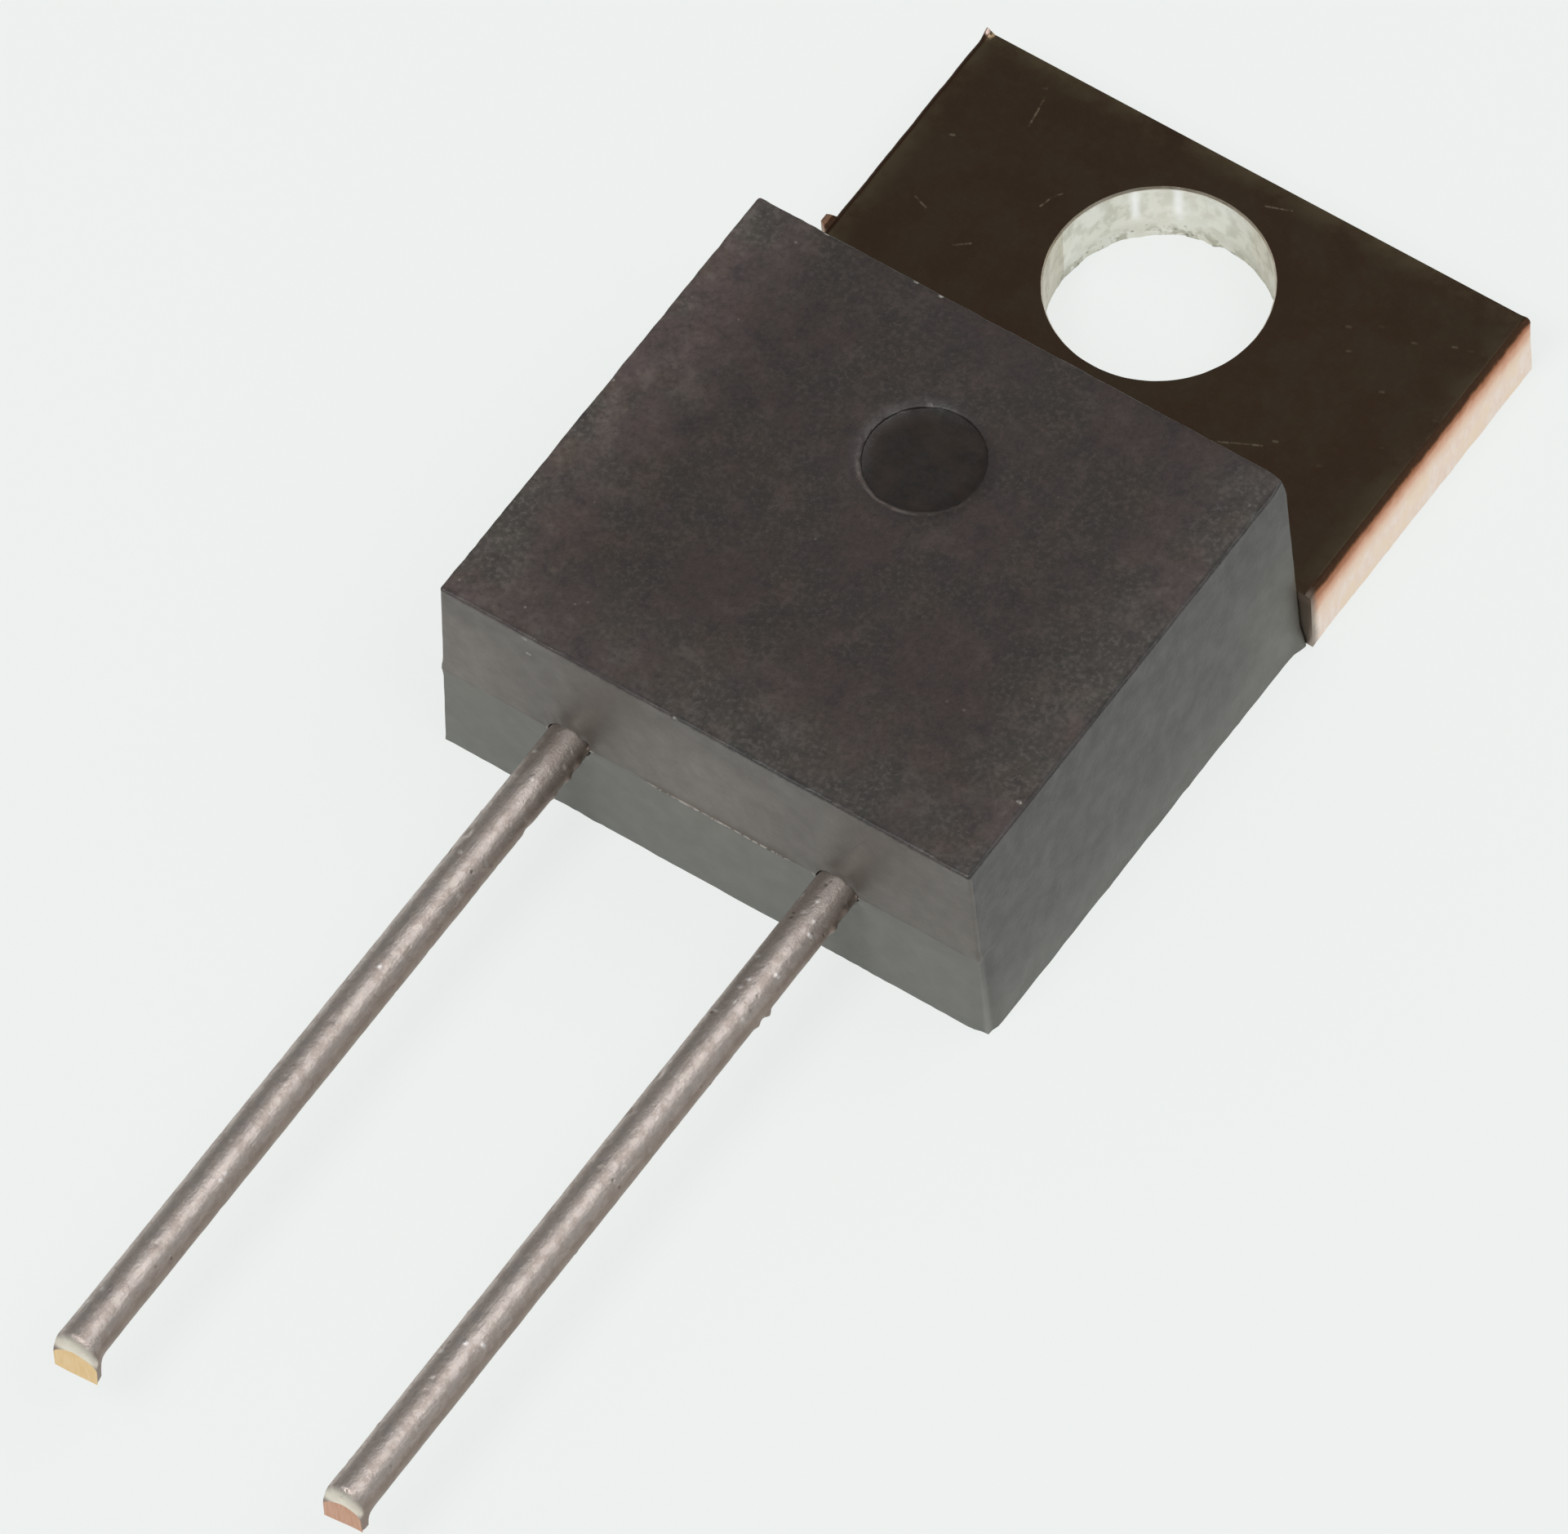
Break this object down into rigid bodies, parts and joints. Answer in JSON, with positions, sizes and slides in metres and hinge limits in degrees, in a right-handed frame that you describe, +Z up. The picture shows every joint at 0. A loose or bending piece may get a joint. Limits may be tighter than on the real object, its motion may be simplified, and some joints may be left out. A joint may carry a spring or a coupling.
{
  "type": "power resistor",
  "caption": "Moulded power resistor on a plated copper heat-sink tab with a mounting hole, with straight round leads for a circuit board.",
  "frame": {"origin": "centre of the mounting hole in the plane of the tab's back face, on which the part lies", "axes": "+Z up through the package, +Y towards the tab's free end, leads along -Y, +X to the right when looking along +Y"},
  "size_m": [0.0106, 0.0286, 0.0044],
  "materials": {
    "plated_copper": "dark nickel plating over copper, finely drawn; bare copper on the sheared edges",
    "moulding_compound": "dark grey epoxy moulding compound with a fine matte grain",
    "tinned_wire": "satin tin over copper wire, slightly uneven",
    "alumina": "white alumina, matte",
    "solder": "satin solder",
    "printed_silver": "fired silver print, matte",
    "resistor_ink": "fired resistor ink, black",
    "glaze": "thin green-black glass glaze"
  },
  "bodies": {
    "root": {"heat_sink_tab": "plated_copper", "moulded_body": "moulding_compound", "lead_left": "tinned_wire", "lead_right": "tinned_wire", "ceramic_substrate": "alumina", "substrate_solder": "solder", "lead_solder_left": "solder", "lead_solder_right": "solder", "termination_left": "printed_silver", "termination_right": "printed_silver", "resistive_film": "resistor_ink", "overglaze": "glaze"}
  },
  "joints": []
}
